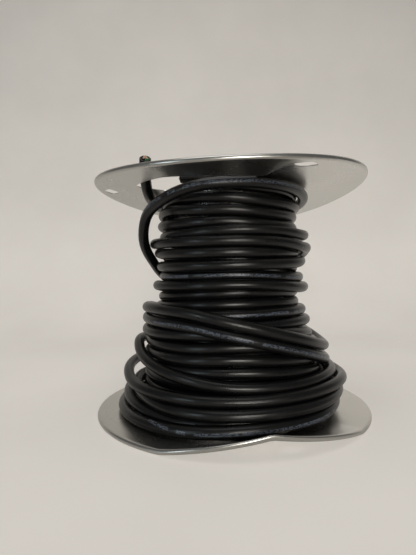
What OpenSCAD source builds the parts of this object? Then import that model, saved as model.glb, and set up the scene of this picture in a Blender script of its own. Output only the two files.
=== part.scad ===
// Steel reel of three-core rubber power cable, standing on its lower flange.
// Z is the reel's axis and the lower rim stands on z = 0. -Y is the front.

/* [Reel] */
// Diameter of each flange over its curled rim
flange_d = 305; // [285:1:340]
// Width of the reel over both curled rims, before any bending
reel_w = 250; // [235:1:280]
// Thickness of the galvanised sheet of flanges and drum
sheet_t = 0.8; // [0.6:0.1:1.2]
// Height of the curl that is rolled outwards along each rim
curl_d = 5; // [4:0.5:7]
// Outside diameter of the drum
drum_d = 134; // [124:1:144]

/* [Arbor] */
// Bore of the arbor bushings
arbor_d = 32; // [25:1:40]
// Wall of the pressed bushing
bushing_t = 1.5; // [1:0.1:2.5]
// Length of each bushing along the axis
bushing_h = 14; // [10:1:20]
// Width of the bushing's collar beyond its wall
collar_w = 6; // [4:0.5:8]

/* [Flange openings] */
// Distance from the drum to the inner edge of the two fan-shaped windows
window_gap = 4; // [3:0.5:8]
// Depth of the windows from their inner edge towards the rim
window_depth = 41; // [30:1:44]
// Corner radius of the windows
window_corner_r = 10; // [3:1:12]
// Long side-to-side width of a tie hole
tie_hole_w = 27; // [12:1:28]
// Depth of a tie hole towards the rim
tie_hole_h = 16; // [8:1:18]
// Distance from the rim's edge to the middle of a tie hole
tie_hole_inset = 16; // [13:1:20]

/* [Bends] */
// How far the thin upper flange has buckled out of flat
buckle = 8; // [0:1:12]
// How far the strip outside the upper flange's front window hangs down
strip_sag = 4.5; // [0:0.5:6]
// How far the front of the lower rim is bent up towards the cable
dent = 18; // [0:1:20]

/* [Cable] */
// Diameter of the jacket
cable_d = 11.4; // [10.4:0.1:12]
// Wall of the jacket
jacket_t = 1.8; // [1.4:0.1:2]
// Share of its natural size that one insulated core keeps
core_fit = 0.94; // [0.85:0.01:1]
// Diameter of the stranded copper in one core
copper_d = 2.1; // [1.6:0.1:2.4]
// Spare room between neighbouring turns of the outer layer
lay_gap = 0.8; // [0.6:0.1:1.2]
// Length of jacket that shows its cores at a cut end
cut_depth = 12; // [8:1:14]

/* [Hidden] */

$fn = 96;
fit = 0.15;                                 // clearance between pieces that seat
flange_r = flange_d / 2;
drum_r = drum_d / 2;
cable_r = cable_d / 2;
curl_r = curl_d / 2;
low_face = curl_d;                          // inner face of the lower flange
high_face = reel_w - curl_d;                // inner face of the upper flange
bushing_r = arbor_d / 2 + bushing_t;
window_in_r = drum_r + window_gap;
window_out_r = window_in_r + window_depth;

steel = [0.66, 0.67, 0.66];
bright_steel = [0.74, 0.75, 0.74];
rubber = [0.05, 0.05, 0.055];
copper_colour = [0.72, 0.42, 0.25];

// ---------------------------------------------------------------- flanges

// Angles here run from the front, -Y, and grow towards +X.
function from_front(a) = a - 90;
function wrap(a) = a > 180 ? a - 360 : (a < -180 ? a + 360 : a);

saddle_turn = -8;                           // where the upper flange's saddle is highest, off the sides
dent_left = -27;                            // the bent stretch of the lower rim
dent_peak = 9;
dent_right = 50;
fold_r = flange_r - 32;                     // where the sheet folds at the dent

// Outward bend of the upper flange: flat at the drum, a saddle at the rim.
// The strip between the front window and the rim hangs lower still.
bend_r = drum_r + 2;
strip_r = window_out_r + 3.5;
function strip_at(a, r) =
    lookup(wrap(a), [[-37, 0], [-28, 0.35], [-13, 1], [-3, 1], [12, 0]])
    * lookup(r, [[bend_r + 24, 0], [strip_r, 1], [flange_r - curl_d, 0]]);
function buckle_at(a, r) =
    let (s = max(0, (r - bend_r) / (flange_r - bend_r)))
    -buckle * pow(s, 1.2) * cos(2 * (a - saddle_turn)) - strip_sag * strip_at(a, r);

// The lower flange's dent bends the rim back, towards the cable.
function dent_at(a, r) =
    let (w = wrap(a))
    let (along = lookup(w, [[dent_left, 0], [dent_peak, 1], [dent_right, 0]]))
    let (out = max(0, (r - fold_r) / (flange_r - fold_r)))
    -dent * along * out;

// Section of a flange: radius and outward height over its inner face.
// The curl has a flat of its own on the outside, which the reel stands on.
curl_steps = 7;
// The folds follow the rim and the window follows the drum, so their radii are put in order.
function in_order(list) = len(list) < 2 ? list :
    let (first = list[0], rest = [for (i = [1:len(list) - 1]) list[i]])
    concat(in_order([for (x = rest) if (x < first) x]), [first], in_order([for (x = rest) if (x >= first) x]));
sheet_radii = in_order([bushing_r + fit, bend_r, bend_r + 24, strip_r, fold_r, fold_r + 11]);
curl_centre_r = flange_r - curl_r;
function curl_arc(radius) = [
    for (i = [0:curl_steps])
        let (turn = -90 + 40 * i)
        [curl_centre_r + radius * cos(turn), curl_r + radius * sin(turn)]
];
flange_section = concat(
    [for (r = sheet_radii) [r, 0]],
    curl_arc(curl_r),
    [for (p = [curl_steps:-1:0]) curl_arc(curl_r - sheet_t)[p]],
    [for (i = [len(sheet_radii) - 1:-1:0]) [sheet_radii[i], sheet_t]]
);

// Closed skin of rings: ring i joins ring i + 1, and the last joins the first if closed.
function skin_faces(rings, sides, closed) = [
    for (i = [0:(closed ? rings - 1 : rings - 2)], j = [0:sides - 1])
        let (a = i * sides + j, b = i * sides + (j + 1) % sides)
        let (n = ((i + 1) % rings) * sides)
        each [[a, b, n + (j + 1) % sides], [a, n + (j + 1) % sides, n + j]]
];
function cap_faces(rings, sides) = concat(
    [for (j = [1:sides - 2]) [0, j + 1, j]],
    [for (j = [1:sides - 2]) let (n = (rings - 1) * sides) [n, n + j, n + j + 1]]
);

// A revolved sheet whose height follows a bend of angle and radius.
module bent_disc(section, sides, bend) {
    points = [
        for (i = [0:sides - 1])
            let (a = 360 * (i + 0.5) / sides)
            for (p = section)
                [p[0] * sin(a), -p[0] * cos(a), p[1] + bend(a, p[0])]
    ];
    polyhedron(points, skin_faces(sides, len(section), true));
}

module fan_window(start, stop) {
    a0 = from_front(start);
    a1 = from_front(stop);
    steps = 8;
    offset(r = window_corner_r, $fn = 20)
        offset(delta = -window_corner_r)
            polygon(concat(
                [for (i = [0:steps]) let (a = a0 + (a1 - a0) * i / steps)
                    window_out_r * [cos(a), sin(a)]],
                [for (i = [steps:-1:0]) let (a = a0 + (a1 - a0) * i / steps)
                    window_in_r * [cos(a), sin(a)]]
            ));
}

// A tie hole: two shallow arcs that meet at its ends.
module tie_hole() {
    steps = 4;
    half = tie_hole_w / 2;
    polygon(concat(
        [for (i = [-steps:steps]) [half * i / steps, tie_hole_h / 2 * (1 - pow(abs(i) / steps, 1.5))]],
        [for (i = [steps - 1:-1:-steps + 1]) [half * i / steps, -tie_hole_h / 2 * (1 - pow(abs(i) / steps, 1.5))]]
    ));
}

module flange_cuts(windows, ties) {
    linear_extrude(height = 60, center = true) {
        for (w = windows)
            fan_window(w[0], w[1]);
        for (a = ties)
            rotate(from_front(a))
                translate([flange_r - tie_hole_inset, 0])
                    rotate(90)
                        tie_hole();
        tab_slots();
    }
}

// Windows and tie holes, as angles from the front.
top_windows = [[-67, 13], [113, 193]];
top_ties = [26, 151, 274];
bottom_windows = [[-82, -2], [98, 178]];
bottom_ties = [18, 133, 248];

module top_flange() {
    color(steel)
        difference() {
            translate([0, 0, high_face])
                bent_disc(flange_section, 72, function(a, r) buckle_at(a, r));
            translate([0, 0, high_face])
                flange_cuts(top_windows, top_ties);
        }
}

module bottom_flange() {
    color(steel)
        difference() {
            translate([0, 0, low_face])
                mirror([0, 0, 1])
                    bent_disc(flange_section, 72, function(a, r) dent_at(a, r));
            translate([0, 0, low_face])
                flange_cuts(bottom_windows, bottom_ties);
        }
}

// ------------------------------------------------------------------- drum

seam_w = 9;                                 // width of the folded lock seam
seam_h = 1.6;                               // how far it stands into the drum
seam_angle = from_front(165);
tab_w = 12;                                 // tabs that hold the flanges on
tab_l = 8;
tab_angles = [0:60:300];

// A tab passes up through its slot and is folded inwards over the sheet.
tab_r = drum_r - 0.4;                       // keeps a flat tab's corners inside the drum's curve
module drum_tab() {
    translate([tab_r - sheet_t, -tab_w / 2, -1])
        cube([sheet_t, tab_w, 1 + 2 * sheet_t + fit]);
    translate([tab_r - tab_l, -tab_w / 2, sheet_t + fit])
        cube([tab_l, tab_w, sheet_t]);
}

module tab_slots() {
    for (a = tab_angles)
        rotate(a)
            translate([tab_r - sheet_t - 2 * fit, -tab_w / 2 - 2 * fit])
                square([sheet_t + 4 * fit, tab_w + 4 * fit]);
}

module drum_barrel() {
    color(bright_steel) {
        translate([0, 0, low_face])
            difference() {
                cylinder(r = drum_r, h = high_face - low_face);
                translate([0, 0, -1])
                    difference() {
                        cylinder(r = drum_r - sheet_t, h = reel_w);
                        rotate(seam_angle)
                            translate([drum_r - sheet_t - seam_h, -seam_w / 2, 0])
                                cube([seam_h + 1, seam_w, reel_w]);
                    }
            }
        for (a = tab_angles)
            rotate(a) {
                translate([0, 0, high_face])
                    drum_tab();
                translate([0, 0, low_face])
                    mirror([0, 0, 1])
                        drum_tab();
            }
    }
}

// Pressed bushing: a tube through the flange, with a collar inside against the
// flange and its end flared over outside.
module arbor_bushing() {
    rotate_extrude()
        polygon([
            [arbor_d / 2, -bushing_h],
            [bushing_r, -bushing_h],
            [bushing_r, -bushing_t],
            [bushing_r + collar_w, -bushing_t],
            [bushing_r + collar_w, 0],
            [bushing_r, 0],
            [bushing_r, sheet_t],
            [bushing_r + 1.6, sheet_t],
            [bushing_r + 1.2, sheet_t + 1.4],
            [arbor_d / 2, sheet_t + 1.4]
        ]);
}

module top_arbor_bushing() {
    color(bright_steel)
        translate([0, 0, high_face])
            arbor_bushing();
}

module bottom_arbor_bushing() {
    color(bright_steel)
        translate([0, 0, low_face])
            mirror([0, 0, 1])
                arbor_bushing();
}

// ------------------------------------------------------------------ cable

function unit(v) = v / norm(v);
function smooth(x) = x * x * (3 - 2 * x);
function layer_r(layers) = drum_r + cable_d * (layers - 0.5);
function pile_z(diameters) = low_face + cable_d * diameters;

// Shape of the pile that the outer layer lies on, from the top down:
// cable diameters above the lower flange, and layers counted from the drum.
pile = [
    [10.5, 1], [9.65, 1.64], [8.77, 2.08], [7.72, 2.34], [6.23, 2.69], [3.6, 2.96],
    [3.25, 3.22], [2.9, 3.66], [2.37, 4.27], [1.84, 4.89], [0.97, 5.28], [0.53, 5.37]
];
pile_line = concat(
    [[layer_r(1), high_face - cable_r - 0.9]],
    [for (p = pile) [layer_r(p[1]), pile_z(p[0])]]
);
function line_length(line, n) =
    n == 0 ? 0 : line_length(line, n - 1) + norm(line[n] - line[n - 1]);
pile_marks = [for (i = [0:len(pile_line) - 1]) line_length(pile_line, i)];
pile_length = pile_marks[len(pile_marks) - 1];
function on_pile(s) = [
    lookup(s, [for (i = [0:len(pile_line) - 1]) [pile_marks[i], pile_line[i][0]]]),
    lookup(s, [for (i = [0:len(pile_line) - 1]) [pile_marks[i], pile_line[i][1]]])
];

// The winding starts near the front, goes down as a helix and ends at the right.
first_angle = 20;
helix_part = (90 - first_angle) / 360;
helix_turns = min(19, floor(pile_length / (cable_d + lay_gap) - helix_part)) + helix_part;

// Then loose turns climb back over it. Each row is a quarter turn, beginning at
// the right: cable diameters above the lower flange, and layers from the drum.
loose = [
    [0.53, 5.4], [1.14, 6.64], [2.9, 5.41], [2.81, 5.4],
    [2.5, 5.7], [3.95, 4.71], [6.2, 3.9], [3.6, 4.25],
    [3.33, 4.8], [5.7, 3.95], [8.42, 3.3], [7.8, 3.4],
    [4.44, 4.4], [7.02, 3.85], [9.7, 3.3], [9, 3.35],
    [6.05, 3.9], [10.2, 2.9], [13.6, 2.1]
];
loose_turns = 4.36;
function loose_at(t) =
    let (q = t * 4, i = min(floor(q), len(loose) - 2), f = smooth(q - i))
    let (p = loose[i] * (1 - f) + loose[i + 1] * f)
    [layer_r(p[1]), pile_z(p[0])];

winding_turns = helix_turns + loose_turns;
function winding_point(n) =
    let (a = from_front(first_angle + 360 * n))
    let (p = n < helix_turns ? on_pile(pile_length * n / helix_turns) : loose_at(n - helix_turns))
    [p[0] * cos(a), p[0] * sin(a), p[1]];

loop_rings = 24;
winding_rings = floor(winding_turns * loop_rings);
winding_loops = [for (i = [0:winding_rings]) winding_point(winding_turns * i / winding_rings)];

// Both ends of the winding run straight for one diameter, where the leads join.
start_run = unit(winding_loops[1] - winding_loops[0]);
finish_run = unit(winding_loops[winding_rings] - winding_loops[winding_rings - 1]);
start_joint = winding_loops[0] - cable_d * start_run;
finish_joint = winding_loops[winding_rings] + cable_d * finish_run;
winding_route = concat([start_joint], winding_loops, [finish_joint]);

// Least gap between stretches of the winding that are not neighbours.
function least_gap(route, skip) = min([
    for (i = [0:len(route) - 1 - skip], j = [i + skip:len(route) - 1])
        norm(route[i] - route[j])
]) - cable_d;

// A tube swept along a route, with straight, square ends.
function tangent(route, i) =
    let (last = len(route) - 1)
    unit(route[min(i + 1, last)] - route[max(i - 1, 0)]);
function ring(centre, along, radius, sides) =
    let (side = unit(cross(along, abs(along[2]) > 0.9 ? [0, 1, 0] : [0, 0, 1])))
    let (up = cross(side, along))
    [for (k = [0:sides - 1]) let (a = 360 * (k + 0.5) / sides)
        centre + radius * (cos(a) * side + sin(a) * up)];
module tube(route, radius, sides) {
    points = [for (i = [0:len(route) - 1]) each ring(route[i], tangent(route, i), radius, sides)];
    polyhedron(points, concat(
        skin_faces(len(route), sides, false),
        cap_faces(len(route), sides)
    ));
}

// The pile under the outer layer, a plain ring on the drum.
core_gap = 0.7;
module cable_core() {
    color(rubber)
        rotate_extrude()
            polygon(concat(
                [[drum_r + fit, low_face + 0.1]],
                [for (i = [len(pile) - 1:-1:1])
                    [layer_r(pile[i][1]) - cable_r - core_gap,
                     i == len(pile) - 1 ? low_face + 0.1 : pile_z(pile[i][0])]],
                [[drum_r + fit, pile_z(pile[1][0]) + 1]]
            ));
}

module cable_winding() {
    echo(least_winding_gap = least_gap(winding_route, 12));
    color(rubber)
        tube(winding_route, cable_r, 6);
}

// ------------------------------------------------------------ the two ends

// Points of a lead move with the drum's radius and the upper flange's height.
drawn_drum_r = 67;
drawn_face = 245;
function ride(points) = [for (p = points)
    let (grow = 1 + (drum_r - drawn_drum_r) / norm([p[0], p[1]]))
    let (share = min(1, max(0, (p[2] - 136) / 84)))
    [p[0] * grow, p[1] * grow, p[2] + (high_face - drawn_face) * share]
];

// The finish leaves the pile at the back, rises loose round the left, crosses
// under the upper flange, goes once round and stands up through the window.
finish_points = [
    [-84, 33, 154], [-92, 9, 167], [-97, -13, 183], [-95, -31, 200], [-88, -47, 217],
    [-76, -63, 224], [-58, -80, 230], [-33, -91, 235], [-4, -92, 237], [25, -87, 238],
    [48, -75, 238], [66, -56, 238.5], [80, -30, 238], [86, 0, 237], [81, 31, 236],
    [66, 56, 235.5], [42, 76, 235], [12, 87, 235.5], [-20, 86, 236], [-50, 74, 237],
    [-72, 54, 238], [-84, 27, 238.5], [-89, -3, 238], [-89, -21, 238], [-89, -39, 239],
    [-89, -48, 242], [-89, -55, 246], [-88.5, -61, 250.5], [-88, -67, 255], [-87, -73, 260],
    [-85.5, -78.5, 265]
];
finish_route = concat([finish_joint, finish_joint + 8 * finish_run], ride(finish_points));

// The start turns up from the drum and ends in the same window.
start_points = [
    [-3, -77.5, 240], [-13, -78.8, 242], [-23, -78.6, 244], [-33, -77.6, 246],
    [-41, -76.3, 247], [-51.5, -75, 247.2]
];
start_route = concat([start_joint, start_joint - 6 * start_run], ride(start_points));

// A lead whose far end is cut open: its last ring turns inwards to a blind bore.
bore_r = cable_r - jacket_t;
lead_sides = 10;
module open_lead(route) {
    last = len(route) - 1;
    out = unit(route[last] - route[last - 1]);
    rings = concat(
        [for (i = [0:last]) ring(route[i], tangent(route, i), cable_r, lead_sides)],
        [ring(route[last], out, bore_r, lead_sides),
         ring(route[last] - cut_depth * out, out, bore_r, lead_sides)]
    );
    polyhedron([for (r = rings) each r], concat(
        skin_faces(len(rings), lead_sides, false),
        cap_faces(len(rings), lead_sides)
    ));
}

// Puts children at the cut end of a route, with +Z along the cable.
module at_cut(route, depth) {
    last = len(route) - 1;
    out = unit(route[last] - route[last - 1]);
    translate(route[last] - depth * out)
        rotate([0, acos(out[2]), atan2(out[1], out[0])])
            children();
}

// Three cores of one size fill the jacket's bore.
bore_flat_r = bore_r * cos(180 / lead_sides);
core_d = core_fit * 2 * bore_flat_r / (1 + 2 / sqrt(3));
core_place_r = bore_flat_r - core_d / 2 - 0.05;
core_out = 0.8;                             // how far a core stands out of the jacket
copper_out = 0.5;                           // and the copper out of the core
core_depth = cut_depth - 0.1;
strand_d = copper_d / 3;

module insulated_core(route, turn, colour) {
    color(colour)
        at_cut(route, core_depth)
            rotate(turn)
                translate([core_place_r, 0, 0])
                    difference() {
                        cylinder(d = core_d, h = core_depth + core_out, $fn = 32);
                        translate([0, 0, -1])
                            cylinder(d = copper_d + 0.1, h = core_depth + core_out + 2, $fn = 32);
                    }
}

// The strands of one core: six round one.
module copper_strands(route, turn) {
    color(copper_colour)
        at_cut(route, core_depth)
            rotate(turn)
                translate([core_place_r, 0, 0])
                    for (i = [0:6])
                        rotate(60 * i)
                            translate([i == 6 ? 0 : strand_d, 0, 0])
                                cylinder(d = strand_d, h = core_depth + core_out + copper_out, $fn = 16);
}

finish_turn = 180;
start_turn = 40;
black_core = [0.08, 0.08, 0.09];
white_core = [0.9, 0.88, 0.82];
green_core = [0.1, 0.4, 0.2];

module finish_lead() {
    color(rubber)
        open_lead(finish_route);
}

module start_lead() {
    color(rubber)
        open_lead(start_route);
}

module finish_white_conductor() {
    insulated_core(finish_route, finish_turn, white_core);
}

module finish_white_strands() {
    copper_strands(finish_route, finish_turn);
}

module finish_black_conductor() {
    insulated_core(finish_route, finish_turn + 120, black_core);
}

module finish_black_strands() {
    copper_strands(finish_route, finish_turn + 120);
}

module finish_green_conductor() {
    insulated_core(finish_route, finish_turn + 240, green_core);
}

module finish_green_strands() {
    copper_strands(finish_route, finish_turn + 240);
}

module start_white_conductor() {
    insulated_core(start_route, start_turn, white_core);
}

module start_white_strands() {
    copper_strands(start_route, start_turn);
}

module start_black_conductor() {
    insulated_core(start_route, start_turn + 120, black_core);
}

module start_black_strands() {
    copper_strands(start_route, start_turn + 120);
}

module start_green_conductor() {
    insulated_core(start_route, start_turn + 240, green_core);
}

module start_green_strands() {
    copper_strands(start_route, start_turn + 240);
}

bottom_flange();
top_flange();
drum_barrel();
bottom_arbor_bushing();
top_arbor_bushing();
cable_core();
cable_winding();
finish_lead();
start_lead();
finish_black_conductor();
finish_white_conductor();
finish_green_conductor();
finish_black_strands();
finish_white_strands();
finish_green_strands();
start_black_conductor();
start_white_conductor();
start_green_conductor();
start_black_strands();
start_white_strands();
start_green_strands();
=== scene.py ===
import math

import bmesh
import bpy
import numpy as np
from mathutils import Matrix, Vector


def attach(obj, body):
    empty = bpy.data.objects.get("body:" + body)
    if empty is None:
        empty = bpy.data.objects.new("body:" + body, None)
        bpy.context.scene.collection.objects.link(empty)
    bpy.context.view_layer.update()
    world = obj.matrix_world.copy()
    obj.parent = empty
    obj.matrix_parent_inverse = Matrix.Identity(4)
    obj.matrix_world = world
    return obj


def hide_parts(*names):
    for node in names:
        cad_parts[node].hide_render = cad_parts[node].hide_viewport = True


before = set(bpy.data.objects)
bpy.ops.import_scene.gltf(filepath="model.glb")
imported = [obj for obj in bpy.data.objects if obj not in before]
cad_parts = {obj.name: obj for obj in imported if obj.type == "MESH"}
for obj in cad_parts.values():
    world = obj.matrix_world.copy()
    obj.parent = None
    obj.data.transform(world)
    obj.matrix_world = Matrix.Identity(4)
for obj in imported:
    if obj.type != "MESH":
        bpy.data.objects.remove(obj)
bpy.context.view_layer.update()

MM = 0.001

# ------------------------------------------------------------------ sizes ----
# In millimetres and degrees, and the same as the solid model's.
CABLE_D, JACKET_T, CUT_DEPTH = 11.4, 1.8, 12
FLANGE_R, CURL_R, SHEET_T = 152.5, 2.5, 0.8
LOW_FACE, HIGH_FACE = 5.0, 245.0
DRUM_R, ARBOR_R, BUSHING_R, BUSHING_H = 67.0, 16.0, 17.5, 14
WINDOW_IN, WINDOW_OUT, WINDOW_CORNER = 71.0, 112.0, 10.0
TAB_R = DRUM_R - 0.4
BEND_R, STRIP_R, FOLD_R = DRUM_R + 2, WINDOW_OUT + 3.5, FLANGE_R - 32
FIT = 0.15
BUCKLE, SADDLE_TURN = 8, -8             # depth of the upper flange's saddle, and its azimuth
STRIP_SAG = 4.5
FLOOR_GAP = 0.16                        # under the curl that the reel stands on
DENT, DENT_SPAN = 18, (-27, 9, 50)      # of the lower rim: depth, and left, deepest and right

# ----------------------------------------------------------------- camera ----
# At the height and distance of someone who holds the standing reel at arm's length.
eye = bpy.data.cameras.new("eye")
eye.sensor_width = 36
eye.lens = 24.13
eye.shift_y = 0.0153
eye.clip_start = 0.02
camera = bpy.data.objects.new("camera", eye)
camera.location = (-0.026, -0.442, 0.1395)
camera.rotation_euler = (math.radians(90), math.radians(0.85), 0)
bpy.context.scene.collection.objects.link(camera)
bpy.context.scene.camera = camera

# ------------------------------------------------------- the cable's route ----
FIRST = 72.9          # centre radius of the turns that lie on the drum
SECOND = 82.8         # of the turns in their grooves
SAMPLES = 48          # per turn
START_AT = 20         # azimuth at which the first turn begins
LOWEST = 10.85        # centre of a turn that lies on the flat lower flange
HIGHEST = 238.8       # and of one under the flat upper flange
LOOSE_GIVE = 0.12     # how readily the loose finish is pushed, against 1 for a turn
ROUTE_STEP = 7.6      # between neighbouring points of the finished route

# Heights at the front of the hidden turns: down the drum, then up over those.
HIDDEN_DOWN = (106, 94, 82, 70, 58, 46, 33.5)
HIDDEN_UP = (15, 26.4, 37.8, 49.2, 60.6, 71)

# One row a turn, in the order in which the reel was wound: height and radius
# of the centre in millimetres, at the left, front, right and back, or at the
# azimuths of "across" for the turns that lie unevenly.
quarters = (-90, 0, 90, 180)
across = (-90, -60, -30, 0, 30, 60, 80, 180, 225)
turns = [
    (None, None, (236, FIRST), (231.5, FIRST)),
    ((229.5, FIRST), (231, FIRST), (228.5, 73), (226, 73),
     (223.3, 74), (225, 75), (228.5, 75.3), (224.3, FIRST)),
    ((222.5, 77), (221.4, 75.7), (215.9, 74.3), (213.6, 73),
     (211.4, 74), (214, 73), (217, 73), (213.5, FIRST)),
    ((210, 79), (206.3, 77), (203.2, 75), (203.5, 73),
     (201.8, 73), (204, 73), (205, 73), (189, FIRST)),
    ((169.5, FIRST), (168, FIRST), (167, FIRST), (166.3, FIRST),
     (164, FIRST), (160, FIRST), (158.5, FIRST), (144, FIRST), (127, FIRST)),
]
for z in HIDDEN_DOWN:
    turns.append(((z + 5, FIRST), (z, FIRST), (z - 2, FIRST), (z - 5, FIRST)))
turns.append(((26, FIRST), (22, FIRST), (20, FIRST), (12.5, 75)))
for z in HIDDEN_UP:
    turns.append(((z - 2, SECOND), (z, SECOND), (z + 2, SECOND), (z + 5.5, SECOND)))
turns += [
    ((95.5, 83), (96, 83.3), (99, 83.7), (100, 84),
     (100.6, 84), (102, 85), (101.5, 86), (103, SECOND)),
    ((107, 81), (107.4, 81), (109, 81), (108.4, 81),
     (110.8, 80), (112.2, 79.5), (113, 79.5), (114.5, SECOND)),
    ((118.5, 78), (119.1, 77), (121.8, 76), (122.7, 75),
     (123, 74), (121.5, 73), (123, 73), (125.5, SECOND)),
    ((127.5, 76.5), (127.5, 76), (128.3, 75), (129.9, 74),
     (130.7, 73), (130.4, 73), (131.7, 73), (136, SECOND)),
    ((142.5, 87), (140.4, 85), (138.5, 82), (139.6, 81),
     (138.6, 82), (136.6, 83), (137.6, 84), (147, SECOND)),
    ((157.5, 79), (154.2, 78.5), (152.6, 77), (152.2, 75),
     (150.3, 75), (149, 75), (150.5, 76), (158, SECOND)),
    ((166, 80), (163, 82), (160.2, 83), (159.6, 82.5),
     (160.6, 81), (163.6, 79), (167.5, 77), (168, SECOND)),
    ((176, 77), (173.8, 79), (173, 81), (173.6, 82),
     (174, 80), (175, 76), (178, 74.5), (184, SECOND)),
    ((197.8, 77.5), (195, 77), (193.1, 77), (192.9, 78),
     (192.3, 80), (191.2, 82), (194, 83), (199, 77)),
    ((184.5, 86), (182, 84), (180.4, 82), (181.2, 80),
     (181.8, 81), (178.8, 83), (180.5, 85), (120, 95), (93, 95)),
    ((91.5, 97.9), (89.8, 97), (89.9, 93), (88.5, 93),
     (87.5, 92), (84.5, 89.5), (82.5, 88), (82, 92.8)),
    ((78.5, 93.7), (74, 93.3), (73.4, 93), (79.1, 93), (80, 92.6), (76, 91), (74, 90), (73, 92.6)),
    ((66, 92.6), (66, 93), (66.5, 95), (68.7, 97), (65.6, 97), (62.5, 94), (65, 91), (61.5, 92.6)),
    ((56.5, 93), (57.2, 95), (58.9, 97), (59.3, 99), (55.8, 100), (50, 97), (47.5, 93), (50, 92.6)),
    ((45.5, 93.5), (49.2, 95), (50.5, 96), (48.2, 97.5),
     (46, 98), (41.7, 99), (42, 99), (38.5, 92.6)),
    ((34.5, 92.6), (34.5, 92.6), (32.5, 92.6), (27.5, 92.6)),
    ((23, 92.6), (23, 92.6), (21, 92.6), (16, 92.6)),
    ((11.2, 92.6), (11.2, 92.6), (11.2, 92.6), (14, 98)),
    ((11, 106), (11, 103), (11, 106), (11, 112)),
    ((10.9, 122), (10.9, 122.5), (11.5, 123.5),
     (14.8, 124.5), (17, 121), (18, 115), (18.5, 112), (20, 117)),
    ((25, 118), (20.5, 116.5), (16, 112), (18.4, 112),
     (20.5, 109), (22, 104.5), (23, 103), (24, 108)),
    ((33, 109.5), (28, 111.5), (24, 117.5), (25.6, 122),
     (27, 122), (27.5, 119.5), (27.5, 118.5), (40, 118), (52, 117.5)),
    ((46.5, 118.3), (36, 116.5), (33.5, 114.5), (34, 113.5),
     (36.5, 116.5), (38, 120.5), (37, 122.5), (56, 116)),
    ((78.5, 104.5), (64, 103.5), (52.5, 104), (44.5, 105),
     (43, 107), (45, 109), (45, 110), (76, 112), (92, 108)),
    ((104, 94.5), (103.2, 94.8), (101.2, 96.3), (91.6, 102),
     (78.3, 101), (63, 101), (57, 101.5), (95, 107), (108, 103)),
    ((116.5, 96), (116.5, 98), (113.8, 102), (102.4, 106),
     (88, 106), (75.5, 104), (71, 104), (124, 106)),
]

# Where the printed line comes to the outside: how many turns before the end,
# and from one azimuth of that turn to another.
outward_prints = ((25, -90, 150), (21, -150, 150), (7, -75, 150), (2, -150, 150), (0, -150, 150))
printed = [(360 * (len(turns) - k) + first, 360 * (len(turns) - k) + last)
           for k, first, last in outward_prints]

# The loose finish and the start, point by point, as in the solid model.
finish_points = [
    (-66.3, 63.4, 141.1),
    (-80.5, 33, 154), (-87.5, 9, 167), (-95, -13, 183), (-95, -31, 200), (-88, -47, 217),
    (-76, -63, 224), (-58, -80, 230), (-33, -91, 235), (-4, -92, 237), (25, -87, 238),
    (48, -75, 238), (66, -56, 238.5), (80, -30, 238), (86, 0, 237), (81, 31, 236),
    (66, 56, 235.5), (42, 76, 235), (12, 87, 235.5), (-20, 86, 236), (-50, 74, 237),
    (-72, 54, 238), (-84, 27, 238.5), (-89, -3, 238), (-89, -21, 238),
    (-89, -39, 239), (-89, -48, 242), (-89, -55, 246), (-88.5, -61, 250.5),
    (-88, -67, 255), (-87, -73, 260), (-85.5, -78.5, 265),
]
tail = 25             # the first point of the end that stands up through the window
start_points = [
    (-51.5, -75, 247.2), (-41, -76.3, 247), (-33, -77.6, 246), (-23, -78.6, 244),
    (-13, -78.8, 242), (-3, -77.5, 240), (14.8, -73.6, 238.7),
]


def through(x, y, at):
    """A smooth curve through the points that never overshoots them."""
    h = np.diff(x)
    slope = np.diff(y) / h
    m = np.zeros(len(x))
    m[0], m[-1] = slope[0], slope[-1]
    for i in range(1, len(x) - 1):
        if slope[i - 1] * slope[i] > 0:
            a, b = 2 * h[i] + h[i - 1], h[i] + 2 * h[i - 1]
            m[i] = (a + b) / (a / slope[i - 1] + b / slope[i])
    k = np.clip(np.searchsorted(x, at) - 1, 0, len(h) - 1)
    t = (at - x[k]) / h[k]
    return ((1 + 2 * t) * (1 - t) ** 2 * y[k] + t * (1 - t) ** 2 * h[k] * m[k]
            + t * t * (3 - 2 * t) * y[k + 1] + t * t * (t - 1) * h[k] * m[k + 1])


def wrapped(az):
    return (az + 180) % 360 - 180


def saddle(az, s):
    """The upper flange's bend, for s from 0 at the drum to 1 at the rim."""
    return BUCKLE * s ** 1.2 * np.cos(np.radians(2 * (az - SADDLE_TURN)))


def floor_height(az, r):
    """Lowest centre over the lower flange, which is dented at the front."""
    along = np.interp(wrapped(az), DENT_SPAN, [0, 1, 0])
    return LOWEST + DENT * along * np.clip((r + 4 - FOLD_R) / (FLANGE_R - FOLD_R), 0, 1)


def ceiling_height(az, r):
    """Highest centre under the upper flange, which is bent to a saddle."""
    return HIGHEST - saddle(az, np.clip((r - BEND_R) / (FLANGE_R - BEND_R), 0, 1))


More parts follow.
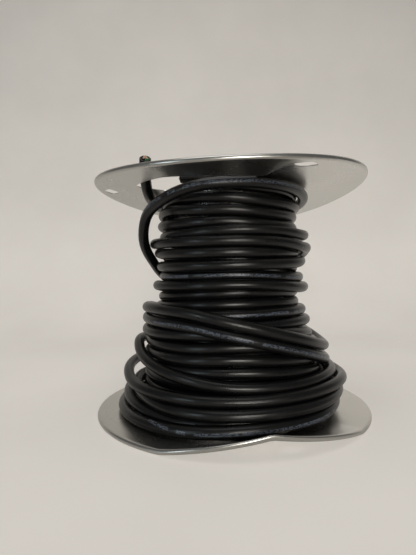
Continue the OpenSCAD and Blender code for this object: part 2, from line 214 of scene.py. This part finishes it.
def settle(az, height, radius, give, rounds=900):
    """Moves the turns apart until they lie on each other.

    Each round pulls the line back to where it was given, less and less, and
    then pushes apart what is nearer than a diameter.
    """
    pull_back, fade, stiffest, spread, apart, push = 0.05, 1.25, 1.6, 0.2, 1.005, 0.8
    step = math.radians(360 / SAMPLES)
    n = len(az)
    rows = math.ceil(n / SAMPLES)

    def table(v):
        return np.concatenate([v, np.full(rows * SAMPLES - n, np.nan)]).reshape(rows, SAMPLES)

    R, Z = radius.copy(), height.copy()
    G = table(give)
    share = 2 * G[:, None] / (G[:, None] + G[None])
    own = np.arange(rows)
    for i in range(rounds):
        pull = pull_back * max(0.0, 1 - fade * i / rounds) * (stiffest - give)
        for A, A0 in ((R, radius), (Z, height)):
            away = A - A0
            away[1:-1] += spread * (away[:-2] + away[2:] - 2 * away[1:-1])
            A[:] = A0 + away * (1 - pull)
        slope = np.gradient(Z) / (R * step)
        lean = table(np.sqrt(1 + slope ** 2))
        Rt, Zt = table(R), table(Z)
        dR = Rt[:, None] - Rt[None]
        dZ = Zt[:, None] - Zt[None]
        dist = np.sqrt(dR ** 2 + dZ ** 2) + 1e-6
        needed = CABLE_D * apart * 0.5 * (lean[:, None] + lean[None])
        short = np.nan_to_num(np.clip(needed - dist, 0, None))
        short[own, own] = 0
        g = np.nan_to_num(0.5 * short / dist * share)
        R += push * (g * np.nan_to_num(dR)).sum(1).reshape(-1)[:n]
        Z += push * (g * np.nan_to_num(dZ)).sum(1).reshape(-1)[:n]
        np.maximum(R, FIRST - 0.05, out=R)
        np.maximum(Z, floor_height(az, R), out=Z)
        np.minimum(Z, ceiling_height(az, R), out=Z)
    return R, Z


def polar(p):
    """Azimuth from the front, height and radius of a point."""
    return math.degrees(math.atan2(p[0], -p[1])), p[2], math.hypot(p[0], p[1])


knots = [(START_AT, 238.2, FIRST)]
for k, row in enumerate(turns):
    for at, what in zip(across if len(row) > 4 else quarters, row):
        if what:
            knots.append((360 * k + at, *what))
turn = 360 * (len(turns) - 1)
loose_from = None
for p in finish_points[:tail]:
    a, h, r = polar(p)
    a += turn
    while a < knots[-1][0]:
        a += 360
    if loose_from is None:
        loose_from = a
    knots.append((a, h, r))
knots = np.array([k for k in knots if k[0] >= START_AT], float)
az = np.arange(START_AT, knots[-1, 0], 360 / SAMPLES)
give = np.where(az >= loose_from, LOOSE_GIVE, 1.0)
heights, radii = (through(knots[:, 0], knots[:, k], az) for k in (1, 2))
R, Z = settle(az, heights, radii, give)
wound = np.stack([R * np.sin(np.radians(az)), -R * np.cos(np.radians(az)), Z], 1)
route = np.concatenate([
    np.array(start_points[:-1], float), wound[1:], np.array(finish_points[tail:], float)])


def even(points, gap, soften=0):
    """The same line with its points at equal distances."""
    for _ in range(2):
        d = np.concatenate([[0], np.cumsum(np.linalg.norm(np.diff(points, axis=0), axis=1))])
        n = int(round(d[-1] / gap))
        at = np.linspace(0, d[-1], n + 1)
        points = np.stack([through(d, points[:, i], at) for i in range(3)], 1)
    for _ in range(soften):
        points[1:-1] = 0.25 * points[:-2] + 0.5 * points[1:-1] + 0.25 * points[2:]
    return points


route = even(route, ROUTE_STEP, 2)


# ---------------------------------------------------------- cable's jacket ----
def tube(name, line, radius, sides, bore, depth, roll):
    """A jacket round a line, with a blind bore in each end where it is cut.

    Its UV map "run" holds the way round, in turns, and the way along, in
    metres. The middle of the printed line is at a half turn, and roll turns
    it away from the outside of the winding.
    """
    edge, lip = 0.35, 0.25      # chamfers of the cut end, outside and at the bore
    n = len(line)
    along = np.gradient(line, axis=0)
    along /= np.linalg.norm(along, axis=1)[:, None]
    up = np.cross(along[0], (0.0, 0.0, 1.0))
    side = up / np.linalg.norm(up)
    sides_dir = [side]
    for i in range(1, n):
        side = side - np.dot(side, along[i]) * along[i]
        side /= np.linalg.norm(side)
        sides_dir.append(side)
    sides_dir = np.array(sides_dir)
    other = np.cross(along, sides_dir)
    run = np.concatenate([[0], np.cumsum(np.linalg.norm(np.diff(line, axis=0), axis=1))])
    angle = 2 * math.pi * np.arange(sides) / sides
    outward = line * (1, 1, 0)
    facing = np.unwrap(np.arctan2((outward * other).sum(1), (outward * sides_dir).sum(1)))
    start = 0.5 + roll - facing / (2 * math.pi)

    def ring(i, r, shift=0.0):
        spoke = np.cos(angle)[:, None] * sides_dir[i] + np.sin(angle)[:, None] * other[i]
        return line[i] + shift * along[i] + r * spoke

    rings = [ring(0, bore, depth), ring(0, bore, lip), ring(0, bore + lip), ring(0, radius - edge)]
    for i in range(n):
        shift = edge if i == 0 else (-edge if i == n - 1 else 0)
        rings.append(ring(i, radius, shift))
    rings += [ring(n - 1, radius - edge), ring(n - 1, bore + lip),
              ring(n - 1, bore, -lip), ring(n - 1, bore, -depth)]
    marks = np.concatenate([[run[0]] * 4, run, [run[-1]] * 4]) * MM
    start = np.concatenate([[start[0]] * 4, start, [start[-1]] * 4])
    pts = np.concatenate(rings) * MM
    faces = []
    m = len(rings)
    for i in range(m - 1):
        for j in range(sides):
            k = (j + 1) % sides
            faces.append((i * sides + j, i * sides + k,
                          (i + 1) * sides + k, (i + 1) * sides + j))
    faces.append(tuple(range(sides))[::-1])
    faces.append(tuple((m - 1) * sides + j for j in range(sides)))
    mesh = bpy.data.meshes.new(name)
    mesh.from_pydata([tuple(p) for p in pts], [], faces)
    uv = mesh.uv_layers.new(name="run")
    loop = 0
    coords = np.zeros((len(mesh.loops), 2))
    for i in range(m - 1):
        for j in range(sides):
            for a, b in ((i, j), (i, j + 1), (i + 1, j + 1), (i + 1, j)):
                coords[loop] = (start[a] + b / sides, marks[a])
                loop += 1
    uv.data.foreach_set("uv", coords.reshape(-1))
    mesh.polygons.foreach_set("use_smooth", [True] * len(mesh.polygons))
    obj = bpy.data.objects.new(name, mesh)
    bpy.context.scene.collection.objects.link(obj)
    bm = bmesh.new()
    bm.from_mesh(mesh)
    bmesh.ops.recalc_face_normals(bm, faces=bm.faces)
    bm.to_mesh(mesh)
    bm.free()
    return obj


def print_roll(line):
    """Which way the printed line faces: 0 outwards, a half turn inwards."""
    around = np.degrees(np.unwrap(np.arctan2(line[:, 0], -line[:, 1])))
    out = np.full(len(line), 0.5)
    ease = 60                   # degrees over which the line turns outwards and back
    for first, last in printed:
        near = np.clip((around - first) / ease, 0, 1) * np.clip((last - around) / ease, 0, 1)
        near = near * near * (3 - 2 * near)
        out -= out * near
    return out


cable = tube("power_cable", route, CABLE_D / 2, 16, bore=CABLE_D / 2 - JACKET_T,
             depth=CUT_DEPTH, roll=print_roll(route))


# ------------------------------------------------------------- sheet metal ----
def mesh_of(name, points, faces):
    mesh = bpy.data.meshes.new(name)
    mesh.from_pydata([tuple(p) for p in np.asarray(points, float) * MM], [], faces)
    bm = bmesh.new()
    bm.from_mesh(mesh)
    bmesh.ops.recalc_face_normals(bm, faces=bm.faces)
    bm.to_mesh(mesh)
    bm.free()
    obj = bpy.data.objects.new(name, mesh)
    bpy.context.scene.collection.objects.link(obj)
    return obj


def turned(name, section, sides):
    """A closed section of (radius, height) points, turned round the axis."""
    section = np.array(section, float)
    n = len(section)
    a = 2 * math.pi * (np.arange(sides) + 0.5) / sides
    points = np.stack([np.outer(np.sin(a), section[:, 0]), np.outer(-np.cos(a), section[:, 0]),
                       np.tile(section[:, 1], (sides, 1))], 2)
    faces = [(i * n + j, (i + 1) % sides * n + j,
              (i + 1) % sides * n + (j + 1) % n, i * n + (j + 1) % n)
             for i in range(sides) for j in range(n)]
    return mesh_of(name, points.reshape(-1, 3), faces)


def prism(outline, low, high):
    """Points and faces of an outline drawn up from low to high."""
    n = len(outline)
    points = [(x, y, low) for x, y in outline] + [(x, y, high) for x, y in outline]
    faces = [tuple(range(n))[::-1], tuple(range(n, 2 * n))]
    faces += [(i, (i + 1) % n, n + (i + 1) % n, n + i) for i in range(n)]
    return points, faces


def at_angle(r, a):
    """The point at a radius and an azimuth from the front."""
    return np.array([r * math.sin(math.radians(a)), -r * math.cos(math.radians(a))])


def window_outline(start, stop):
    """A fan between two radii with round corners."""
    outer, inner = WINDOW_OUT - WINDOW_CORNER, WINDOW_IN + WINDOW_CORNER
    out_turn, in_turn = (math.degrees(math.asin(WINDOW_CORNER / r)) for r in (outer, inner))
    corners = [
        (outer, stop - out_turn, stop - out_turn, stop + 90),
        (inner, stop - in_turn, stop + 90, stop - in_turn + 180),
        (inner, start + in_turn, start + in_turn + 180, start + 270),
        (outer, start + out_turn, start + 270, start + out_turn + 360),
    ]
    long_arc = np.linspace(start + out_turn, stop - out_turn, 26)[1:-1]
    short_arc = np.linspace(stop - in_turn, start + in_turn, 22)[1:-1]
    line = [at_angle(WINDOW_OUT, a) for a in long_arc]
    for k, (r, at, first, last) in enumerate(corners):
        line += [at_angle(r, at) + at_angle(WINDOW_CORNER, a) for a in np.linspace(first, last, 9)]
        if k == 1:
            line += [at_angle(WINDOW_IN, a) for a in short_arc]
    return line


def tie_outline(angle, wide=27.0, high=16.0, inset=16.0, steps=10):
    """Two shallow arcs that meet at their ends, across the rim."""
    x = np.arange(-steps, steps + 1) / steps
    y = high / 2 * (1 - np.abs(x) ** 1.5)
    pts = list(zip(x, y)) + list(zip(x[-2:0:-1], -y[-2:0:-1]))
    along = at_angle(1, angle + 90)
    return [at_angle(FLANGE_R - inset + v, angle) + wide / 2 * u * along for u, v in pts]


def slot_outline(angle, wide=12.6, low=TAB_R - SHEET_T - 2 * FIT, high=TAB_R + 2 * FIT):
    """The slot that one tab of the drum comes through."""
    side = at_angle(1, angle + 90)
    corners = ((low, -wide / 2), (low, wide / 2), (high, wide / 2), (high, -wide / 2))
    return [at_angle(r, angle) + w * side for r, w in corners]


def strip_bend(a, r):
    """How far the strip between the front window and the rim hangs, as a share."""
    return (np.interp(wrapped(a), [-37, -28, -13, 0, 13, 19], [0, 0.35, 1, 1.33, 1.33, 0])
            * np.interp(r, [BEND_R + 24, STRIP_R, FLANGE_R - 2 * CURL_R], [0, 1, 0]))


def upper_bend(a, r):
    """A saddle at the rim, and a low strip outside the front window."""
    s = np.clip((r - BEND_R) / (FLANGE_R - BEND_R), 0, None)
    return -saddle(a, s) - STRIP_SAG * strip_bend(a, r)


def lower_bend(a, r):
    """The front of the rim is knocked in towards the cable."""
    along = np.interp(wrapped(a), DENT_SPAN, [0, 1, 0])
    return -DENT * along * np.clip((r - FOLD_R) / (FLANGE_R - FOLD_R), 0, None)


def flange(name, windows, ties, bend, face, outwards):
    """Turned flat, cut, and then bent."""
    inner = list(np.linspace(BUSHING_R + FIT, 64, 7)) + list(np.arange(67.5, 149, 3.5)) + [150]
    arc = np.radians(-90 + 14 * np.arange(1, 21))
    middle = FLANGE_R - CURL_R
    section = [(r, 0) for r in inner]
    for radius, angles in ((CURL_R, arc), (CURL_R - SHEET_T, arc[::-1])):
        section += [(middle + radius * math.cos(t), CURL_R + radius * math.sin(t)) for t in angles]
    section += [(r, SHEET_T) for r in inner[::-1]]
    disc = turned(name + "_blank", section, 240)
    outlines = [window_outline(*w) for w in windows] + [tie_outline(a) for a in ties]
    outlines += [slot_outline(90 - a) for a in range(0, 360, 60)]
    points, faces = [], []
    for outline in outlines:
        p, f = prism(outline, -3, 4)
        faces += [tuple(v + len(points) for v in corners) for corners in f]
        points += p
    punch = mesh_of(name + "_punch", points, faces)
    cut = disc.modifiers.new("cut", "BOOLEAN")
    cut.operation = "DIFFERENCE"
    cut.solver = "EXACT"
    cut.object = punch
    bpy.context.view_layer.update()
    done = disc.evaluated_get(bpy.context.evaluated_depsgraph_get())
    mesh = bpy.data.meshes.new_from_object(done)
    for o in (disc, punch):
        bpy.data.objects.remove(o)
    mesh.name = name
    place = np.zeros(len(mesh.vertices) * 3)
    mesh.vertices.foreach_get("co", place)
    x, y, h = (place.reshape(-1, 3) / MM).T
    a, r = np.degrees(np.arctan2(x, -y)), np.hypot(x, y)
    z = np.maximum(face + outwards * (h + bend(a, r)), FLOOR_GAP)
    mesh.vertices.foreach_set("co", (np.stack([x, y, z], 1) * MM).reshape(-1))
    bm = bmesh.new()
    bm.from_mesh(mesh)
    bmesh.ops.triangulate(bm, faces=[f for f in bm.faces if len(f.verts) > 4])
    bmesh.ops.recalc_face_normals(bm, faces=bm.faces)
    bm.to_mesh(mesh)
    bm.free()
    mesh.polygons.foreach_set("use_smooth", [True] * len(mesh.polygons))
    mesh.set_sharp_from_angle(angle=math.radians(38))
    obj = bpy.data.objects.new(name, mesh)
    bpy.context.scene.collection.objects.link(obj)
    return obj


upper_flange = flange("upper_flange_sheet", [(-67, 13), (113, 193)], (26, 151, 274),
                      upper_bend, HIGH_FACE, 1)
lower_flange = flange("lower_flange_sheet", [(-82, -2), (98, 178)], (18, 133, 248),
                      lower_bend, LOW_FACE, -1)


def bushing(name, face, outwards):
    """A pressed tube: collar inside, rolled flare outside."""
    collar_r, collar_h = BUSHING_R + 5.6, -1.5
    quarter = np.radians(range(0, 91, 15))
    half = np.radians(range(-90, 91, 30))
    flare = [(BUSHING_R + 1.6 * math.cos(t) - 0.1, SHEET_T + 1.4 * math.sin(t)) for t in quarter]
    mouth = [(ARBOR_R + 0.8 - 0.8 * math.sin(t), SHEET_T + 0.6 + 0.8 * math.cos(t))
             for t in quarter]
    collar = [(collar_r + 0.4 * math.cos(t), -0.4 + 0.4 * math.sin(t)) for t in half]
    section = [(ARBOR_R, -BUSHING_H), (BUSHING_R, -BUSHING_H)]
    section += [(BUSHING_R, collar_h), (collar_r, collar_h)]
    section += [(r, h - 0.35) for r, h in collar[1:3]]
    section += collar[3:] + [(BUSHING_R, 0), (BUSHING_R, SHEET_T)] + flare + mouth
    obj = turned(name, [(r, face + outwards * h) for r, h in section], 72)
    obj.data.polygons.foreach_set("use_smooth", [True] * len(obj.data.polygons))
    obj.data.set_sharp_from_angle(angle=math.radians(40))
    return obj


upper_bushing = bushing("upper_bushing_tube", HIGH_FACE, 1)
lower_bushing = bushing("lower_bushing_tube", LOW_FACE, -1)


def folded_tab(name, face, outwards, wide=12.0, long=8.0):
    """One tab at +X: up through its slot and folded in over the sheet."""
    top = SHEET_T + FIT
    bend_at = [(TAB_R - SHEET_T * (1 - math.sin(t)), top + SHEET_T * math.cos(t))
               for t in np.radians(range(0, 91, 15))]
    outline = [(TAB_R - long, top), (TAB_R - long, top + SHEET_T)] + bend_at
    outline += [(TAB_R, -1), (TAB_R - SHEET_T, -1), (TAB_R - SHEET_T, top)]
    points, faces = prism(outline, -wide / 2, wide / 2)
    points = [(r, w, face + outwards * h) for r, h, w in points]
    return mesh_of(name, points, faces)


def ring_of_tabs():
    """Geometry nodes that repeat one tab round the drum."""
    tree = bpy.data.node_groups.new("tabs_round_drum", "GeometryNodeTree")
    face = tree.interface
    face.new_socket("Tab", in_out="INPUT", socket_type="NodeSocketGeometry")
    face.new_socket("Count", in_out="INPUT", socket_type="NodeSocketInt")
    face.new_socket("Pitch", in_out="INPUT", socket_type="NodeSocketFloat")
    face.new_socket("Finish", in_out="INPUT", socket_type="NodeSocketMaterial")
    face.new_socket("Tabs", in_out="OUTPUT", socket_type="NodeSocketGeometry")
    add = tree.nodes.new
    given, out = add("NodeGroupInput"), add("NodeGroupOutput")
    spots, index = add("GeometryNodePoints"), add("GeometryNodeInputIndex")
    angle, spin = add("ShaderNodeMath"), add("ShaderNodeCombineXYZ")
    copies, real = add("GeometryNodeInstanceOnPoints"), add("GeometryNodeRealizeInstances")
    finish = add("GeometryNodeSetMaterial")
    angle.operation = "MULTIPLY"
    link = tree.links.new
    link(given.outputs["Count"], spots.inputs["Count"])
    link(index.outputs[0], angle.inputs[0])
    link(given.outputs["Pitch"], angle.inputs[1])
    link(angle.outputs[0], spin.inputs[2])
    link(spots.outputs[0], copies.inputs["Points"])
    link(given.outputs["Tab"], copies.inputs["Instance"])
    link(spin.outputs[0], copies.inputs["Rotation"])
    link(copies.outputs[0], real.inputs[0])
    link(real.outputs[0], finish.inputs[0])
    link(given.outputs["Finish"], finish.inputs["Material"])
    link(finish.outputs[0], out.inputs[0])
    return tree


def repeat_tabs(tab, tree, finish):
    """Bakes the ring of tabs into a mesh."""
    step = tab.modifiers.new("repeat", "NODES")
    step.node_group = tree
    sockets = {i.name: i.identifier for i in tree.interface.items_tree
               if i.item_type == "SOCKET" and i.in_out == "INPUT"}
    step[sockets["Count"]] = 6
    step[sockets["Pitch"]] = math.radians(60)
    step[sockets["Finish"]] = finish
    bpy.context.view_layer.update()
    mesh = bpy.data.meshes.new_from_object(tab.evaluated_get(bpy.context.evaluated_depsgraph_get()))
    bpy.data.objects.remove(tab)
    return mesh


def drum_with_tabs(finish):
    """The rolled drum with its lock seam inside, and the tabs at both ends."""
    seam, seam_half, seam_in = 165, 3.9, 1.6
    a = np.sort(np.concatenate([np.arange(0, 360, 2.0), [seam - seam_half, seam + seam_half]]))
    in_seam = np.abs(a - seam) < seam_half + 0.05
    wall = []
    for r_out in (True, False):
        for z in ((LOW_FACE, HIGH_FACE) if r_out else (HIGH_FACE, LOW_FACE)):
            r = np.full(len(a), DRUM_R) if r_out else DRUM_R - SHEET_T - seam_in * in_seam
            turn_a = np.radians(a)
            wall.append(np.stack([r * np.sin(turn_a), -r * np.cos(turn_a), np.full(len(a), z)], 1))
    n = len(a)
    faces = [(k * n + i, k * n + (i + 1) % n, (k + 1) % 4 * n + (i + 1) % n, (k + 1) % 4 * n + i)
             for k in range(4) for i in range(n)]
    drum = mesh_of("drum_sheet", np.concatenate(wall), faces)
    tree = ring_of_tabs()
    bm = bmesh.new()
    bm.from_mesh(drum.data)
    for name, face, outwards in (("upper_tab", HIGH_FACE, 1), ("lower_tab", LOW_FACE, -1)):
        bm.from_mesh(repeat_tabs(folded_tab(name, face, outwards), tree, finish))
    bm.to_mesh(drum.data)
    bm.free()
    drum.data.polygons.foreach_set("use_smooth", [True] * len(drum.data.polygons))
    drum.data.set_sharp_from_angle(angle=math.radians(30))
    return drum


# ---------------------------------------------------------------- finishes ----
def material(name):
    m = bpy.data.materials.new(name)
    m.use_nodes = True
    nodes, links = m.node_tree.nodes, m.node_tree.links
    nodes.clear()
    out = nodes.new("ShaderNodeOutputMaterial")
    shader = nodes.new("ShaderNodeBsdfPrincipled")
    links.new(shader.outputs[0], out.inputs[0])
    return m, nodes, links, shader


def noise(nodes, links, vector, scale, detail=4.0, rough=0.5):
    n = nodes.new("ShaderNodeTexNoise")
    n.inputs["Scale"].default_value = scale
    n.inputs["Detail"].default_value = detail
    n.inputs["Roughness"].default_value = rough
    links.new(vector, n.inputs["Vector"])
    return n.outputs[0]


def remap(nodes, links, value, a, b, c, d):
    n = nodes.new("ShaderNodeMapRange")
    for key, v in zip(("From Min", "From Max", "To Min", "To Max"), (a, b, c, d)):
        n.inputs[key].default_value = v
    links.new(value, n.inputs["Value"])
    return n.outputs[0]


def ramp(nodes, links, value, stops):
    n = nodes.new("ShaderNodeValToRGB")
    while len(n.color_ramp.elements) < len(stops):
        n.color_ramp.elements.new(0.5)
    for e, (at, colour) in zip(n.color_ramp.elements, stops):
        e.position = at
        e.color = (*colour, 1)
    links.new(value, n.inputs[0])
    return n.outputs[0]


def arithmetic(nodes, links, what, a, b=None):
    n = nodes.new("ShaderNodeMath")
    n.operation = what
    for socket, v in zip(n.inputs, (a, b)):
        if v is None:
            continue
        if isinstance(v, (int, float)):
            socket.default_value = v
        else:
            links.new(v, socket)
    return n.outputs[0]


def vector_of(nodes, links, *parts):
    n = nodes.new("ShaderNodeCombineXYZ")
    for socket, v in zip(n.inputs, parts):
        links.new(v, socket)
    return n.outputs[0]


def rubber_jacket():
    """Black jacket: drawn grain along the cable, dust, and a printed line of
    ticks that reads as nothing."""
    m, nodes, links, shader = material("black_jacket_rubber")

    def sums(what, a, b=None):
        return arithmetic(nodes, links, what, a, b)

    place = nodes.new("ShaderNodeTexCoord").outputs["Object"]
    run = nodes.new("ShaderNodeUVMap")
    run.uv_map = "run"
    split = nodes.new("ShaderNodeSeparateXYZ")
    links.new(run.outputs[0], split.inputs[0])
    around, along = split.outputs[0], split.outputs[1]
    way = sums("MULTIPLY", around, 2 * math.pi)
    grain_at = vector_of(nodes, links, sums("MULTIPLY", sums("COSINE", way), 1.6),
                         sums("MULTIPLY", sums("SINE", way), 1.6), sums("MULTIPLY", along, 2.2))
    grain = noise(nodes, links, grain_at, 2.6, 3, 0.55)
    dust = noise(nodes, links, place, 45, 5, 0.6)

    across_line = sums("ABSOLUTE", sums("SUBTRACT", sums("FRACT", around), 0.5))
    in_line = sums("LESS_THAN", across_line, 0.042)
    cell = nodes.new("ShaderNodeTexWhiteNoise")
    cell.noise_dimensions = "2D"
    cells = vector_of(nodes, links, sums("FLOOR", sums("MULTIPLY", along, 800)),
                      sums("FLOOR", sums("MULTIPLY", around, 60)))
    links.new(cells, cell.inputs["Vector"])
    word = nodes.new("ShaderNodeTexWhiteNoise")
    word.noise_dimensions = "1D"
    links.new(sums("FLOOR", sums("MULTIPLY", along, 120)), word.inputs["W"])
    ticks = sums("MULTIPLY", sums("GREATER_THAN", cell.outputs[0], 0.42),
                 sums("GREATER_THAN", word.outputs[0], 0.14))
    ink = sums("MULTIPLY", sums("MULTIPLY", ticks, in_line), 0.75)

    black = ramp(nodes, links, dust, [(0.35, (0.003, 0.0031, 0.0035)),
                                      (0.75, (0.006, 0.0059, 0.006))])
    mix = nodes.new("ShaderNodeMix")
    mix.data_type = "RGBA"
    links.new(ink, mix.inputs[0])
    links.new(black, mix.inputs[6])
    mix.inputs[7].default_value = (0.12, 0.145, 0.19, 1)
    links.new(mix.outputs[2], shader.inputs["Base Color"])
    links.new(remap(nodes, links, dust, 0.3, 0.75, 0.26, 0.36), shader.inputs["Roughness"])
    bump = nodes.new("ShaderNodeBump")
    bump.inputs["Strength"].default_value = 0.35
    bump.inputs["Distance"].default_value = 0.0006
    links.new(grain, bump.inputs["Height"])
    links.new(bump.outputs[0], shader.inputs["Normal"])
    return m


def galvanised(name, low, high, r0, r1):
    """Bare metal between two colours and two roughnesses."""
    m, nodes, links, shader = material(name)
    place = nodes.new("ShaderNodeTexCoord").outputs["Object"]
    shader.inputs["Metallic"].default_value = 1.0
    colour = ramp(nodes, links, noise(nodes, links, place, 9, 5), [(0.3, low), (0.7, high)])
    links.new(colour, shader.inputs["Base Color"])
    rough = remap(nodes, links, noise(nodes, links, place, 22, 6), 0.3, 0.7, r0, r1)
    links.new(rough, shader.inputs["Roughness"])
    return m


jacket = rubber_jacket()
sheet = galvanised("galvanised_sheet", (0.62, 0.62, 0.59), (0.66, 0.65, 0.62), 0.26, 0.3)
plated = galvanised("plated_steel", (0.6, 0.6, 0.58), (0.72, 0.71, 0.69), 0.2, 0.32)


def plastic(name, colour):
    m, nodes, links, shader = material(name)
    place = nodes.new("ShaderNodeTexCoord").outputs["Object"]
    dark = tuple(c * 0.85 for c in colour)
    tone = ramp(nodes, links, noise(nodes, links, place, 300, 3), [(0.3, dark), (0.7, colour)])
    links.new(tone, shader.inputs["Base Color"])
    shader.inputs["Roughness"].default_value = 0.4
    return m


cores = {
    "black": plastic("black_insulation", (0.02, 0.02, 0.02)),
    "white": plastic("white_insulation", (0.72, 0.70, 0.66)),
    "green": plastic("green_insulation", (0.03, 0.25, 0.07)),
}


def bare_copper():
    m, nodes, links, shader = material("bright_copper")
    shader.inputs["Metallic"].default_value = 1
    shader.inputs["Roughness"].default_value = 0.3
    place = nodes.new("ShaderNodeTexCoord").outputs["Object"]
    tone = ramp(nodes, links, noise(nodes, links, place, 500, 3),
                [(0.3, (0.7, 0.32, 0.18)), (0.7, (0.9, 0.48, 0.3))])
    links.new(tone, shader.inputs["Base Color"])
    return m


copper = bare_copper()


def finish_with(obj, mat):
    obj.data.materials.clear()
    obj.data.materials.append(mat)


drum = drum_with_tabs(sheet)
for piece, finish in ((cable, jacket), (upper_flange, sheet), (lower_flange, sheet),
                      (upper_bushing, plated), (lower_bushing, plated), (drum, sheet)):
    finish_with(piece, finish)
for name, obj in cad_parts.items():
    if name.endswith("_strands"):
        finish_with(obj, copper)
    elif name.endswith("_conductor"):
        finish_with(obj, cores[name.split("_")[1]])

# ------------------------------------------------------------- floor, light ----
def pale_paper(colour, lift):
    """Paper whose own shading keeps the shadow, and which looks pale by its own glow. The glow
    holds painted shade, as it fades towards the top, and painted reflection, as reflections see it
    only behind the reel and dimmer to the left.
    """
    m, nodes, links, shader = material("pale_paper")
    place = nodes.new("ShaderNodeTexCoord").outputs["Object"]
    dark = tuple(0.93 * c for c in colour)
    cloud = noise(nodes, links, place, 3.2, 5, 0.55)
    tone = ramp(nodes, links, cloud, [(0.3, dark), (0.7, colour)])
    links.new(tone, shader.inputs["Base Color"])
    links.new(tone, shader.inputs["Emission Color"])
    shader.inputs["Roughness"].default_value = 0.85
    path = nodes.new("ShaderNodeLightPath")
    split = nodes.new("ShaderNodeSeparateXYZ")
    links.new(place, split.inputs[0])
    # Painted reflection: reflections see the paper's glow only behind the reel, and dimmer to the
    # left, which is painted shade.
    behind = remap(nodes, links, split.outputs[1], -0.3, 0.1, 0, 1)
    painted_reflection_shade_left = remap(nodes, links, split.outputs[0], -0.4, 0.3, 0.55, 1)
    share = arithmetic(nodes, links, "MULTIPLY", behind, painted_reflection_shade_left)
    painted_reflection_glow = arithmetic(nodes, links, "MULTIPLY", path.outputs["Is Glossy Ray"], share)
    seen = arithmetic(nodes, links, "MAXIMUM", path.outputs["Is Camera Ray"], painted_reflection_glow)
    seen = arithmetic(nodes, links, "MAXIMUM", seen, path.outputs["Is Transmission Ray"])
    # Painted shade: the paper's glow fades towards the top of the backdrop.
    painted_shade_upwards = remap(nodes, links, split.outputs[2], 0.25, 1.25, lift, 0.55 * lift)
    strength = arithmetic(nodes, links, "MULTIPLY", seen, painted_shade_upwards)
    links.new(strength, shader.inputs["Emission Strength"])
    return m


paper = pale_paper((0.66, 0.625, 0.58), 0.62)
# In metres: the paper lies flat, sweeps up behind the reel and stands.
PAPER_FRONT, SWEEP_AT, SWEEP_R, PAPER_TOP, PAPER_HALF = -2.5, 0.55, 0.4, 2.6, 2.2
PAPER_UNDER = 0.0002            # how far the paper lies under the reel's zero
SWEEP_STEPS = 12
profile = [(PAPER_FRONT, 0.0), (SWEEP_AT, 0.0)]
for i in range(1, SWEEP_STEPS + 1):
    a = math.radians(90 * i / SWEEP_STEPS)
    profile.append((SWEEP_AT + SWEEP_R * math.sin(a), SWEEP_R - SWEEP_R * math.cos(a)))
profile.append((SWEEP_AT + SWEEP_R, PAPER_TOP))
verts = [(x, y, z - PAPER_UNDER) for (y, z) in profile for x in (-PAPER_HALF, PAPER_HALF)]
faces = [(2 * i, 2 * i + 1, 2 * i + 3, 2 * i + 2) for i in range(len(profile) - 1)]
mesh = bpy.data.meshes.new("floor")
mesh.from_pydata(verts, [], faces)
mesh.polygons.foreach_set("use_smooth", [True] * len(faces))
floor = bpy.data.objects.new("floor", mesh)
bpy.context.scene.collection.objects.link(floor)
finish_with(floor, paper)

world = bpy.data.worlds.new("room")
bpy.context.scene.world = world
world.use_nodes = True
back = world.node_tree.nodes["Background"]
back.inputs[0].default_value = (1.0, 0.99, 0.97, 1)
back.inputs[1].default_value = 0.11


def panel(name, at, to, size, power, colour):
    """A lamp with a flat face that looks at a point."""
    lamp = bpy.data.lights.new(name, "AREA")
    lamp.shape = "RECTANGLE"
    lamp.size, lamp.size_y = size
    lamp.energy = power
    lamp.color = colour
    obj = bpy.data.objects.new(name, lamp)
    obj.location = at
    obj.rotation_euler = (Vector(to) - Vector(at)).to_track_quat("-Z", "Y").to_euler()
    bpy.context.scene.collection.objects.link(obj)


panel("lamp_front", (0.2, -1.5, 0.15), (0, 0, 0.12), (0.56, 0.7), 12, (1.0, 0.96, 0.88))
panel("lamp_left", (-1.25, -1.15, 0.3), (0, 0, 0.12), (0.2, 0.8), 2.4, (0.8, 0.93, 1.0))
panel("lamp_top", (-0.1, -0.3, 1.9), (0, 0, 0.1), (1.2, 1.2), 6, (1.0, 0.98, 0.96))

bpy.context.scene.view_settings.view_transform = "Standard"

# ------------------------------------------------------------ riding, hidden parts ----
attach(cable, "root")
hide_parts("cable_core", "cable_winding", "finish_lead", "start_lead")
for piece, node, slot in ((upper_flange, "top_flange", "galvanised_sheet"),
                          (lower_flange, "bottom_flange", "galvanised_sheet"),
                          (upper_bushing, "top_arbor_bushing", "plated_steel"),
                          (lower_bushing, "bottom_arbor_bushing", "plated_steel"),
                          (drum, "drum_barrel", "galvanised_sheet")):
    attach(piece, "root")
    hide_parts(node)
